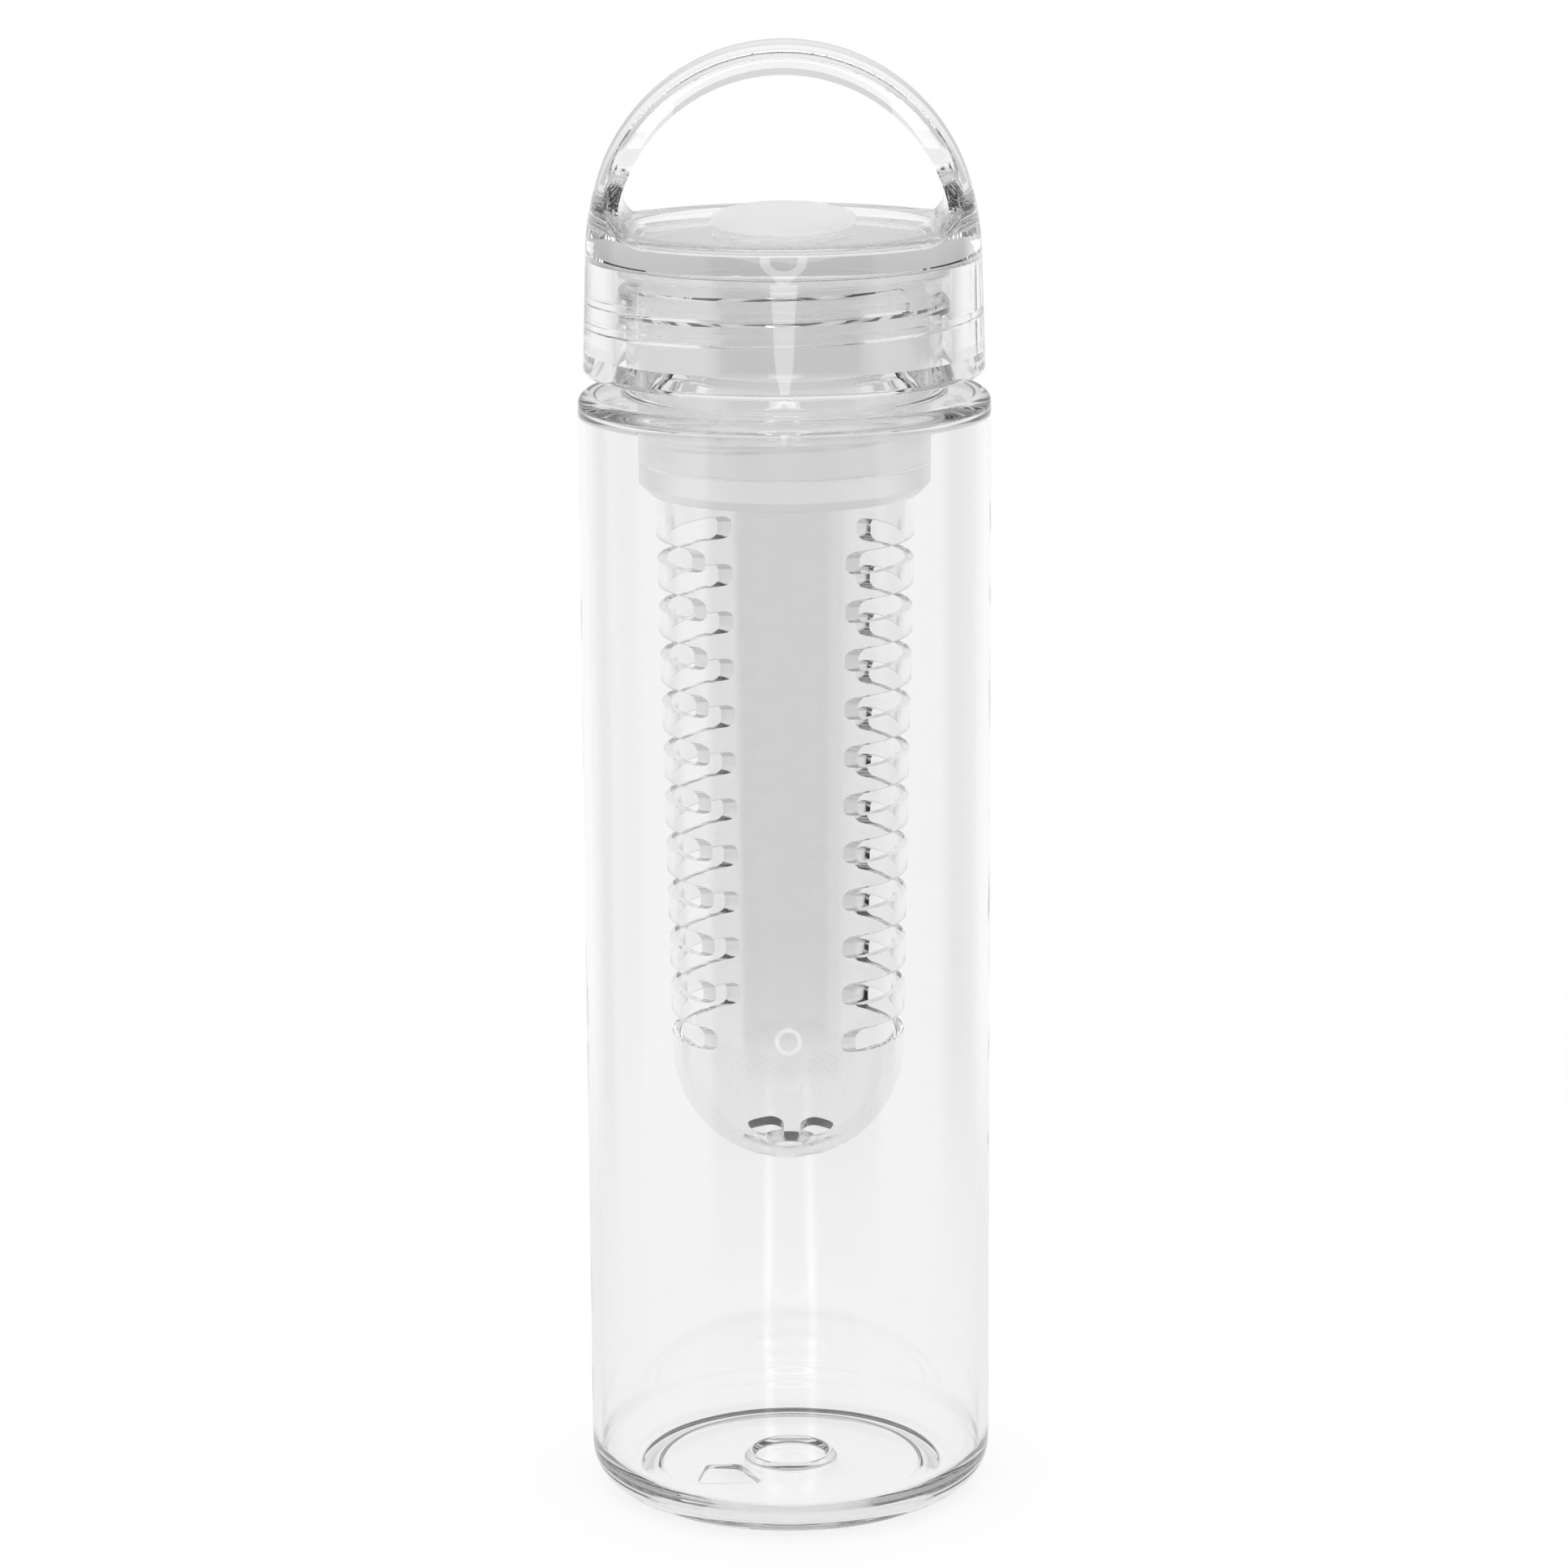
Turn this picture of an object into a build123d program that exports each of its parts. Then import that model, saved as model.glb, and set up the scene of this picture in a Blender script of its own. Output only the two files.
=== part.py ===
from build123d import *
from math import cos, radians, sin, sqrt
import os

# Fruit infuser water bottle: a clear bottle, a screw lid with a carry arch, and a slotted
# basket that screws into a frosted collar under the lid. Millimetres, +Z up, with the
# origin at the centre of the foot. The arch lies in the XZ plane.

# Bottle body
body_r = 36.0
body_wall = 1.5
shoulder_z = 199.3
shoulder_round = 2.0
shoulder_wall = 2.2
foot_round = 7.46
foot_land = 1.2
push_up = 1.8
push_up_run = 0.7
floor_wall = 1.6
gate_ring_r = 7.3
gate_ring_half = 1.0
gate_ring_height = 1.5
key_length = 12.0
key_width = 9.5
key_left_angle = 80.0
key_right_angle = 66.0
key_depth = 0.8
key_round = 1.6
key_x = -10.9
key_y = -8.8

# Neck and its thread; the lid's own thread runs half a pitch away from it
shoulder_width = 8.4
neck_wall = 1.5
neck_above_shoulder = 21.3
neck_root_round = 1.0
neck_lip_round = 0.4
thread_pitch = 4.35
thread_depth = 1.3
thread_foot = 1.8
thread_crest = 1.0
thread_sink = 0.25
thread_turns = 1.6
thread_top_gap = 0.74
thread_front_drop = 6.5

# Lid
lid_gap = 3.3
lid_wall = 5.6
lid_lip_round = 1.2
lid_draft = 0.6
bore_clearance = 0.5
lead_in_height = 3.4
lead_in_flare = 3.2
plate_wall = 4.3
rim_height = 1.6
rim_round = 1.5
rim_width = 7.5
dish_round = 1.2
dish_lip_round = 0.6
spigot_height = 4.0
spigot_wall = 1.7
spigot_clearance = 0.1

# Carry arch on the lid
arch_inset = 0.7
arch_height = 31.9
arch_blend_r = 46.0
strap_side = 4.7
strap_thickness = 5.2
grip_root_round = 5.5
strap_half_width = 10.0
flank_round = 14.5

# Soft ring between the lid and the neck's rim
seal_height = 1.6
seal_side_gap = 0.4
seal_edge_round = 0.3

# Disc on the lid, in two layers, which leans towards the front; its base is measured in the middle
disc_r = 12.6
disc_lean = 6.3
disc_height = 0.55
disc_edge_round = 0.2
disc_base_height = 2.43
disc_base_setback = 0.2

# Collar under the lid, which holds the basket
collar_gap = 0.6
collar_wall = 1.5
collar_length = 34.6
collar_edge_round = 0.3

# Infuser basket
basket_gap = 1.3
basket_wall = 1.6
basket_rim_rise = 10.8
basket_rim_round = 0.5
basket_draft = 2.04
taper_length = 100.3
basket_yaw = -5.4
slot_count = 11
slot_height = 4.0
slot_round = 1.3
slot_half_angle = 50.5
slot_low_margin = 2.8
slot_top_margin = 7.8
drain_hole_r = 2.6
drain_sink_r = 4.2
drain_slot_r = 7.0
drain_slot_width = 4.0
drain_slot_span = 30.0
drain_slot_count = 4

# Thread between the basket and the collar
basket_pitch = 6.2
basket_thread_depth = 1.0
basket_thread_foot = 2.7
basket_thread_crest = 1.7
basket_turns = 1.1
basket_thread_top_gap = 0.03
basket_front_rise = 3.7
thread_tip_gap = 0.3

# Soft ring round the basket, under the collar
ring_height = 5.5
ring_end_gap = 0.2
ring_side_gap = 0.2
ring_bevel = 1.8
ring_edge_round = 0.3

# Reach of every cut past the face that it opens
overrun = 5.0

front = -90.0
full_turn = 360.0

# Bottle
inner_r = body_r - body_wall
floor_z = push_up + floor_wall
neck_r = body_r - shoulder_width
neck_bore_r = neck_r - neck_wall
neck_top = shoulder_z + neck_above_shoulder
thread_front_z = neck_top - thread_front_drop
thread_low_z = neck_top - thread_top_gap - thread_pitch * thread_turns - thread_foot / 2

# Lid
bore_r = neck_r + thread_depth + bore_clearance
lid_r = bore_r + lid_wall
lid_shoulder_r = lid_r - lid_draft
lid_low_z = shoulder_z + lid_gap
plate_low_z = neck_top + seal_height
dish_r = lid_r - rim_width
dish_z = plate_low_z + plate_wall
rim_z = dish_z + rim_height
arch_r = lid_shoulder_r - arch_inset
arch_top_z = rim_z + arch_height
grip_r = arch_r - strap_side
grip_top_z = arch_top_z - strap_thickness

# Collar and the ring under it
collar_r = neck_bore_r - collar_gap
collar_bore_r = collar_r - collar_wall
collar_low_z = plate_low_z - collar_length
spigot_r = collar_bore_r - spigot_clearance
ring_top = collar_low_z - ring_end_gap
ring_low_z = ring_top - ring_height

# Basket, which tapers from the ring's lower end to its dome
basket_r = collar_bore_r - basket_gap
basket_low_r = basket_r - basket_draft
basket_rim_z = collar_low_z + basket_rim_rise
draft_top_z = ring_low_z
dome_z = draft_top_z - taper_length
slot_low_z = dome_z + slot_low_margin
slot_room = draft_top_z - slot_top_margin - slot_low_z
basket_front_z = collar_low_z + basket_front_rise
basket_turns_height = basket_pitch * basket_turns
basket_thread_low_z = basket_rim_z - basket_thread_top_gap - basket_turns_height - basket_thread_foot / 2


def add_ridge(radius, pitch, turns, front_z, low_z, depth, foot, crest):
    """Adds a right-handed helical ridge to the part that is open.

    Its middle line starts at low_z and passes the front at front_z. A positive depth stands
    out of the radius, and a negative one stands in from it.
    """
    start = front + (low_z - front_z) / pitch * full_turn
    helix = Edge.make_helix(pitch, pitch * turns, radius, center=(0, 0, low_z)).rotate(Axis.Z, start)
    outward = (cos(radians(start)), sin(radians(start)), 0)
    root = -thread_sink if depth > 0 else thread_sink
    with BuildSketch(Plane(origin=helix @ 0, x_dir=outward, z_dir=helix % 0)) as profile:
        with BuildLine():
            Polyline(
                (root, -foot / 2),
                (depth, -crest / 2),
                (depth, crest / 2),
                (root, foot / 2),
                close=True,
            )
        make_face()
    sweep(profile.sketch, path=helix, is_frenet=True)


os.makedirs("parts", exist_ok=True)

# Bottle body: one blown wall, from the pushed-up floor to the rim of the neck
foot_r = body_r - foot_round
land_r = foot_r - foot_land
inner_shoulder_z = shoulder_z - shoulder_wall
with BuildPart() as bottle_body:
    with BuildSketch(Plane.XZ):
        with BuildLine():
            FilletPolyline(
                (0, push_up),
                (land_r - push_up_run, push_up),
                (land_r, 0),
                (body_r, 0),
                (body_r, shoulder_z),
                (neck_r, shoulder_z),
                (neck_r, neck_top),
                (neck_bore_r, neck_top),
                (neck_bore_r, inner_shoulder_z),
                (inner_r, inner_shoulder_z),
                (inner_r, floor_z),
                (0, floor_z),
                radius=(
                    0,
                    0,
                    0,
                    foot_round,
                    shoulder_round,
                    neck_root_round,
                    neck_lip_round,
                    neck_lip_round,
                    neck_root_round,
                    shoulder_round,
                    foot_round - body_wall,
                    0,
                ),
                close=True,
            )
        make_face()
    revolve(axis=Axis.Z)
    # Raised ring that the gate leaves in the middle of the floor
    with BuildSketch(Plane.XZ):
        with Locations((gate_ring_r, floor_z)):
            Ellipse(gate_ring_half, gate_ring_height)
    revolve(axis=Axis.Z)
    # Key pocket under the floor, which turns the bottle to its place in the mould
    with BuildSketch(Plane.XY) as key:
        with Locations((key_x, key_y)):
            Trapezoid(key_length, key_width, key_left_angle, key_right_angle)
        fillet(key.vertices(), key_round)
    extrude(amount=push_up + key_depth, mode=Mode.SUBTRACT)
    add_ridge(
        neck_r,
        thread_pitch,
        thread_turns,
        thread_front_z,
        thread_low_z,
        thread_depth,
        thread_foot,
        thread_crest,
    )
bottle_body.part.label = "bottle_body"
export_step(bottle_body.part, "parts/bottle_body.step")

# Lid: one moulding. A dome is cut away in front of the arch, behind it and under it.
arch_z = arch_top_z - arch_r
grip_z = grip_top_z - grip_r
blend_x = lid_shoulder_r - arch_blend_r
blend_z = arch_z - sqrt((arch_blend_r - arch_r) ** 2 - blend_x**2)
blend_reach = arch_blend_r / (arch_blend_r - arch_r)
blend_end = (blend_x - blend_x * blend_reach, blend_z + (arch_z - blend_z) * blend_reach)
far_r = lid_r + overrun
far_z = arch_top_z + overrun
with BuildPart() as lid:
    with BuildSketch(Plane.XZ):
        with BuildLine():
            lip = Line((0, lid_low_z), (lid_r - lid_lip_round, lid_low_z))
            corner = TangentArc(lip @ 1, (lid_r, lid_low_z + lid_lip_round), tangent=(1, 0))
            wall = Line(corner @ 1, (lid_shoulder_r, blend_z))
            blend = TangentArc(wall @ 1, blend_end, tangent=(0, 1))
            crown = TangentArc(blend @ 1, (0, arch_top_z), tangent=blend % 1)
            Line(crown @ 1, lip @ 0)
        make_face()
    revolve(axis=Axis.Z)
    # Flanks of the arch, which run out into the rim
    with BuildSketch(Plane.YZ):
        with BuildLine():
            FilletPolyline(
                (strap_half_width, far_z),
                (strap_half_width, rim_z),
                (far_r, rim_z),
                (far_r, far_z),
                radius=(0, flank_round, 0, 0),
                close=True,
            )
        make_face()
        mirror(about=Plane.YZ)
    extrude(amount=far_r, both=True, mode=Mode.SUBTRACT)
    fillet(lid.edges(Select.LAST).filter_by(GeomType.BSPLINE), rim_round)
    # Grip hole over a shallow dish in the top
    with BuildSketch(Plane.XZ):
        with BuildLine():
            FilletPolyline(
                (0, dish_z),
                (dish_r, dish_z),
                (dish_r, rim_z),
                (far_r, rim_z),
                (far_r, far_z),
                (0, far_z),
                radius=(0, dish_round, dish_lip_round, 0, 0, 0),
                close=True,
            )
        make_face()
    above_top = revolve(axis=Axis.Z, mode=Mode.PRIVATE)
    with BuildSketch(Plane.XZ) as grip:
        with Locations((0, grip_z)):
            Circle(grip_r)
        with Locations((0, dish_z)):
            Rectangle(2 * far_r, 2 * far_z, align=(Align.CENTER, Align.MIN), mode=Mode.INTERSECT)
        fillet(grip.vertices(), grip_root_round)
    grip_way = extrude(amount=far_r, both=True, mode=Mode.PRIVATE)
    add(above_top & grip_way, mode=Mode.SUBTRACT)
    # Threaded bore with its flared mouth
    with BuildSketch(Plane.XZ):
        with BuildLine():
            Polyline(
                (0, plate_low_z),
                (bore_r, plate_low_z),
                (bore_r, lid_low_z + lead_in_height),
                (bore_r + lead_in_flare, lid_low_z),
                (bore_r + lead_in_flare, lid_low_z - overrun),
                (0, lid_low_z - overrun),
                close=True,
            )
        make_face()
    revolve(axis=Axis.Z, mode=Mode.SUBTRACT)
    # Spigot that centres the collar
    with BuildSketch(Plane.XY.offset(plate_low_z - spigot_height)):
        Circle(spigot_r)
        Circle(spigot_r - spigot_wall, mode=Mode.SUBTRACT)
    extrude(amount=spigot_height + thread_sink)
    add_ridge(
        bore_r,
        thread_pitch,
        thread_turns,
        thread_front_z - thread_pitch / 2,
        thread_low_z - thread_pitch / 2,
        -thread_depth,
        thread_foot,
        thread_crest,
    )
lid.part.label = "lid"
export_step(lid.part, "parts/lid.step")

# Soft ring that the lid presses on the neck's rim
with BuildPart() as lid_seal:
    with BuildSketch(Plane.XY.offset(neck_top)):
        Circle(bore_r - seal_side_gap)
        Circle(collar_r + seal_side_gap, mode=Mode.SUBTRACT)
    extrude(amount=seal_height)
    fillet(lid_seal.edges().filter_by(GeomType.CIRCLE), seal_edge_round)
lid_seal.part.label = "lid_seal"
export_step(lid_seal.part, "parts/lid_seal.step")

# Disc in the dish of the lid: a thin frosted top on a wedge that is set back from it
disc_plane = Plane.XY.offset(dish_z + disc_base_height).rotated((disc_lean, 0, 0))
with BuildPart() as disc_base:
    with BuildSketch(Plane.XY.offset(dish_z)):
        Circle(disc_r - disc_base_setback)
    extrude(amount=disc_base_height + disc_r)
    split(bisect_by=disc_plane, keep=Keep.BOTTOM)
disc_base.part.label = "disc_base"
export_step(disc_base.part, "parts/disc_base.step")

with BuildPart() as top_disc:
    with BuildSketch(disc_plane):
        Circle(disc_r)
    extrude(amount=disc_height)
    fillet(top_disc.edges().filter_by(GeomType.CIRCLE).sort_by(Axis.Z)[-1], disc_edge_round)
top_disc.part.label = "top_disc"
export_step(top_disc.part, "parts/top_disc.step")

# Collar: hangs from the lid round the spigot, inside the neck
with BuildPart() as infuser_collar:
    with BuildSketch(Plane.XY.offset(collar_low_z)):
        Circle(collar_r)
        Circle(collar_bore_r, mode=Mode.SUBTRACT)
    extrude(amount=plate_low_z - collar_low_z)
    fillet(infuser_collar.edges().group_by(Axis.Z)[0], collar_edge_round)
    add_ridge(
        collar_bore_r,
        basket_pitch,
        basket_turns,
        basket_front_z - basket_pitch / 2,
        collar_low_z + collar_edge_round + basket_thread_foot / 2,
        thread_tip_gap + basket_r - collar_bore_r,
        basket_thread_foot,
        basket_thread_crest,
    )
infuser_collar.part.label = "infuser_collar"
export_step(infuser_collar.part, "parts/infuser_collar.step")

# Soft ring round the basket, which fills the step under the collar
with BuildPart() as basket_ring:
    with BuildSketch(Plane.XY.offset(ring_low_z)):
        Circle(collar_r)
        Circle(basket_r + ring_side_gap, mode=Mode.SUBTRACT)
    extrude(amount=ring_height)
    chamfer(basket_ring.edges().group_by(Axis.Z)[0].sort_by(SortBy.RADIUS)[-1], ring_bevel)
    fillet(basket_ring.edges().group_by(Axis.Z)[-1], ring_edge_round)
basket_ring.part.label = "basket_ring"
export_step(basket_ring.part, "parts/basket_ring.step")

# Infuser basket: a tapered tube on a round dome, with a row of slots down each side
basket_bore_r = basket_r - basket_wall
low_bore_r = basket_low_r - basket_wall
slot_share = sin(radians(slot_half_angle))
taper = basket_draft / taper_length
slot_pitch = (slot_room - slot_height) / (slot_count - 1)
with BuildPart() as infuser_basket:
    with BuildSketch(Plane.XZ):
        with BuildLine():
            outside = Polyline(
                (basket_r, basket_rim_z),
                (basket_r, draft_top_z),
                (basket_low_r, dome_z),
            )
            dome = RadiusArc(outside @ 1, (0, dome_z - basket_low_r), basket_low_r)
            Line(dome @ 1, (0, dome_z - low_bore_r))
            bowl = RadiusArc((0, dome_z - low_bore_r), (low_bore_r, dome_z), -low_bore_r)
            Polyline(
                bowl @ 1,
                (basket_bore_r, draft_top_z),
                (basket_bore_r, basket_rim_z),
                outside @ 0,
            )
        make_face()
    revolve(axis=Axis.Z)
    fillet(infuser_basket.edges().group_by(Axis.Z)[-1], basket_rim_round)
    # Slots, cut straight out to the sides as the mould's slides do
    side_plane = Plane.YZ.rotated((0, 0, basket_yaw))
    for row in range(slot_count):
        middle_z = slot_low_z + slot_height / 2 + row * slot_pitch
        half_length = (basket_low_r + taper * (middle_z - dome_z)) * slot_share
        with BuildSketch(side_plane):
            with Locations((0, middle_z)):
                RectangleRounded(2 * half_length, slot_height, slot_round)
        extrude(amount=basket_r + overrun, both=True, mode=Mode.SUBTRACT)
    # Drain slots and the middle hole in the dome
    with BuildSketch(Plane.XY):
        Circle(drain_hole_r)
        for quarter in range(drain_slot_count):
            middle = (quarter + 1 / 2) * full_turn / drain_slot_count + basket_yaw
            with BuildLine(mode=Mode.PRIVATE) as drain_line:
                CenterArc((0, 0), drain_slot_r, middle - drain_slot_span / 2, drain_slot_span)
            SlotArc(drain_line.wire(), drain_slot_width)
    extrude(amount=dome_z, mode=Mode.SUBTRACT)
    # Countersink of the middle hole, on the inside
    sink_z = dome_z - sqrt(low_bore_r**2 - drain_sink_r**2)
    with BuildSketch(Plane.XZ):
        with BuildLine():
            Polyline(
                (0, sink_z - (drain_sink_r - drain_hole_r)),
                (drain_hole_r, sink_z - (drain_sink_r - drain_hole_r)),
                (drain_sink_r, sink_z),
                (0, sink_z),
                close=True,
            )
        make_face()
    revolve(axis=Axis.Z, mode=Mode.SUBTRACT)
    add_ridge(
        basket_r,
        basket_pitch,
        basket_turns,
        basket_front_z,
        basket_thread_low_z,
        basket_thread_depth,
        basket_thread_foot,
        basket_thread_crest,
    )
infuser_basket.part.label = "infuser_basket"
export_step(infuser_basket.part, "parts/infuser_basket.step")
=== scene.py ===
"""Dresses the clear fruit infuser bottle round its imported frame, and sets up its studio."""
import logging
import math
from dataclasses import dataclass
from enum import Enum
from typing import Sequence

import bmesh
import bpy
from mathutils import Matrix, Vector


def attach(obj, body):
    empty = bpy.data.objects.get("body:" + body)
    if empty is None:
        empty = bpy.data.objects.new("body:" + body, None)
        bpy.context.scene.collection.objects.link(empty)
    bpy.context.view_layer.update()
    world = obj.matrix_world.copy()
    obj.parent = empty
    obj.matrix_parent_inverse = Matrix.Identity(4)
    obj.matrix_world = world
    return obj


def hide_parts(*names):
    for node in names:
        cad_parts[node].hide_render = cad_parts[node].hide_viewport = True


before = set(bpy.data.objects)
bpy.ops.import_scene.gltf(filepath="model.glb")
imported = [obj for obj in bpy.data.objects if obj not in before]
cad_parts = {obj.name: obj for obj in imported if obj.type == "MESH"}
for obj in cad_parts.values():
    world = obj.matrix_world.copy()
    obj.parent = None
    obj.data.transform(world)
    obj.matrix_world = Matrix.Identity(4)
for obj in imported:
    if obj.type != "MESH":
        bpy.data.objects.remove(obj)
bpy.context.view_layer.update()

MM = 0.001
FULL_TURN = 2 * math.pi
SPIN_STEPS = 256
MERGE = 0.002 * MM
SMOOTH_ANGLE = math.radians(28)
FRONT_ANGLE = math.radians(-90)
WHITE = "ffffff"
CIRCLE_DEGREES = 360
BOUNCES = {
    "max_bounces": 40,
    "transmission_bounces": 32,
    "glossy_bounces": 24,
    "diffuse_bounces": 8,
}

log = logging.getLogger("infuser_bottle")


class Round(Enum):
    """How finely a round corner of an outline is stepped."""

    FINE = 10
    SMALL = 5


class Join(Enum):
    """What a boolean does with its second body."""

    ADD = "UNION"
    CUT = "DIFFERENCE"


@dataclass(frozen=True)
class Corner:
    """One corner of an outline, in millimetres.

    Args:
        r: Distance from the axis.
        z: Height.
        round: Radius of the corner, or 0 for a sharp one.
        steps: How finely the round is stepped.
    """

    r: float
    z: float
    round: float = 0.0
    steps: Round = Round.SMALL


def linear(code: str) -> tuple[float, float, float, float]:
    """Turns an sRGB hex code into linear light.

    Args:
        code: Six hex digits.

    Returns:
        Red, green, blue and an alpha of 1.
    """
    shares = [int(code[i : i + 2], 16) / 255 for i in (0, 2, 4)]
    light = [s / 12.92 if s <= 0.04045 else ((s + 0.055) / 1.055) ** 2.4 for s in shares]
    return (light[0], light[1], light[2], 1.0)


def add_node(tree: bpy.types.NodeTree, kind: str, settings: dict, links: dict) -> bpy.types.Node:
    """Adds a node with its settings and links.

    Args:
        tree: The tree that it goes into.
        kind: The node's type name.
        settings: Values by name, on the node itself or on its input sockets.
        links: Output sockets by the name of the input that they feed.

    Returns:
        The new node.
    """
    node = tree.nodes.new(kind)
    for name, value in settings.items():
        if isinstance(name, str) and hasattr(node, name):
            setattr(node, name, value)
        else:
            node.inputs[name].default_value = value
    for name, socket in links.items():
        tree.links.new(socket, node.inputs[name])
    return node


def new_material(name: str) -> bpy.types.Material:
    """Makes a material with an empty node tree.

    Args:
        name: The material's name.

    Returns:
        The material.
    """
    material = bpy.data.materials.new(name)
    material.use_nodes = True
    material.node_tree.nodes.clear()
    return material


def add_relief(
    tree: bpy.types.NodeTree, size: float, height: float, texture: dict
) -> bpy.types.NodeSocket:
    """Adds a fine relief to a surface, which lies still on the object.

    Args:
        tree: The tree that the nodes go into.
        size: Distance between two rises, in mm.
        height: Their height, in mm.
        texture: Further settings of the noise texture.

    Returns:
        The socket with the surface's normal.
    """
    place = add_node(tree, "ShaderNodeTexCoord", {}, {})
    rises = add_node(
        tree,
        "ShaderNodeTexNoise",
        {"Scale": 1 / (size * MM), **texture},
        {"Vector": place.outputs["Object"]},
    )
    bump = add_node(
        tree,
        "ShaderNodeBump",
        {"Strength": 1.0, "Distance": height * MM},
        {"Height": rises.outputs["Fac"]},
    )
    return bump.outputs["Normal"]


def mix(
    tree: bpy.types.NodeTree,
    share: bpy.types.NodeSocket,
    first: bpy.types.NodeSocket,
    second: bpy.types.NodeSocket,
) -> bpy.types.NodeSocket:
    """Mixes two shaders.

    Args:
        tree: The tree that the node goes into.
        share: The second one's share.
        first: The first shader.
        second: The second shader.

    Returns:
        The mixed shader.
    """
    links = {"Fac": share, 1: first, 2: second}
    return add_node(tree, "ShaderNodeMixShader", {}, links).outputs["Shader"]


def add_glow(
    tree: bpy.types.NodeTree, shader: bpy.types.NodeSocket, strength: float
) -> bpy.types.NodeSocket:
    """Adds a white glow to a shader.

    Args:
        tree: The tree that the nodes go into.
        shader: The shader.
        strength: How bright the glow is, where 1 is white.

    Returns:
        The glowing shader.
    """
    glow = add_node(tree, "ShaderNodeEmission", {"Strength": strength}, {})
    links = {0: shader, 1: glow.outputs["Emission"]}
    return add_node(tree, "ShaderNodeAddShader", {}, links).outputs["Shader"]


def add_background(tree: bpy.types.NodeTree, links: dict) -> bpy.types.NodeSocket:
    """Adds a white background light.

    Args:
        tree: The tree that the node goes into.
        links: Output sockets by the name of the input that they feed.

    Returns:
        The light.
    """
    white = {"Color": linear(WHITE)}
    return add_node(tree, "ShaderNodeBackground", white, links).outputs["Background"]


def ease(
    tree: bpy.types.NodeTree,
    value: bpy.types.NodeSocket,
    span: tuple[float, float],
    ends: tuple[float | bpy.types.NodeSocket, float | bpy.types.NodeSocket],
) -> bpy.types.NodeSocket:
    """Passes softly from one value to another.

    Args:
        tree: The tree that the node goes into.
        value: What the passage follows.
        span: Where it begins and ends.
        ends: What it gives before and after, as numbers or sockets.

    Returns:
        The socket with the result.
    """
    settings = {"interpolation_type": "SMOOTHSTEP", "From Min": span[0], "From Max": span[1]}
    links = {"Value": value}
    for name, end in zip(("To Min", "To Max"), ends):
        kind = links if isinstance(end, bpy.types.NodeSocket) else settings
        kind[name] = end
    return add_node(tree, "ShaderNodeMapRange", settings, links).outputs["Result"]


def unreflected(tree: bpy.types.NodeTree) -> bpy.types.NodeSocket:
    """Tells rays that no shiny surface has reflected: straight, through clear walls or scattered.

    Args:
        tree: The tree that the nodes go into.

    Returns:
        A socket that is 1 for such rays.
    """
    path = add_node(tree, "ShaderNodeLightPath", {}, {})
    settings = {"operation": "LESS_THAN", 1: 0.5}
    return add_node(tree, "ShaderNodeMath", settings, {0: path.outputs["Glossy Depth"]}).outputs["Value"]


def round_off(bm: bmesh.types.BMesh, geom: list, offset: float, steps: Round, affect: str) -> None:
    """Rounds corners or edges.

    Args:
        bm: The mesh.
        geom: The vertices or edges.
        offset: How far from them the round begins, in metres.
        steps: How finely it is stepped.
        affect: VERTICES or EDGES.
    """
    bmesh.ops.bevel(
        bm,
        geom=geom,
        offset=offset,
        offset_type="OFFSET",
        segments=steps.value,
        profile=0.5,
        affect=affect,
        clamp_overlap=False,
        material=-1,
    )


def outline(corners: Sequence[Corner], closed: bool = True) -> bmesh.types.BMesh:
    """Draws an outline in the XZ plane as a chain of edges, and rounds its corners.

    Args:
        corners: The outline's corners, in order.
        closed: Whether the last corner is joined to the first.

    Returns:
        A mesh that holds the chain, in metres.
    """
    bm = bmesh.new()
    verts = [bm.verts.new((c.r * MM, 0, c.z * MM)) for c in corners]
    pairs = list(zip(verts, verts[1:]))
    if closed:
        pairs.append((verts[-1], verts[0]))
    for pair in pairs:
        bm.edges.new(pair)
    turns = []
    for vert, corner in zip(verts, corners):
        if corner.round > 0:
            arms = [(e.other_vert(vert).co - vert.co).normalized() for e in vert.link_edges]
            turns.append((vert, corner, math.pi - arms[0].angle(arms[1])))
    for vert, corner, turn in turns:
        offset = corner.round * MM * math.tan(turn / 2)
        round_off(bm, [vert], offset, corner.steps, "VERTICES")
    return bm


def spin_round(bm: bmesh.types.BMesh, steps: int = SPIN_STEPS) -> None:
    """Spins an outline a full turn about the upright axis and points its faces outwards.

    Args:
        bm: The mesh with the outline.
        steps: How many steps the turn has.
    """
    geometry = bm.verts[:] + bm.edges[:]
    bmesh.ops.spin(
        bm,
        geom=geometry,
        cent=(0, 0, 0),
        axis=(0, 0, 1),
        angle=FULL_TURN,
        steps=steps,
        use_merge=True,
    )
    bmesh.ops.remove_doubles(bm, verts=bm.verts[:], dist=MERGE)
    bmesh.ops.recalc_face_normals(bm, faces=bm.faces[:])


def make_object(name: str, bm: bmesh.types.BMesh) -> bpy.types.Object:
    """Makes an object of a mesh, with its place in the mesh.

    Args:
        name: The object's name.
        bm: The mesh, which is freed.

    Returns:
        The object, linked to the scene.
    """
    mesh = bpy.data.meshes.new(name)
    bm.to_mesh(mesh)
    bm.free()
    made = bpy.data.objects.new(name, mesh)
    bpy.context.scene.collection.objects.link(made)
    return made


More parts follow.
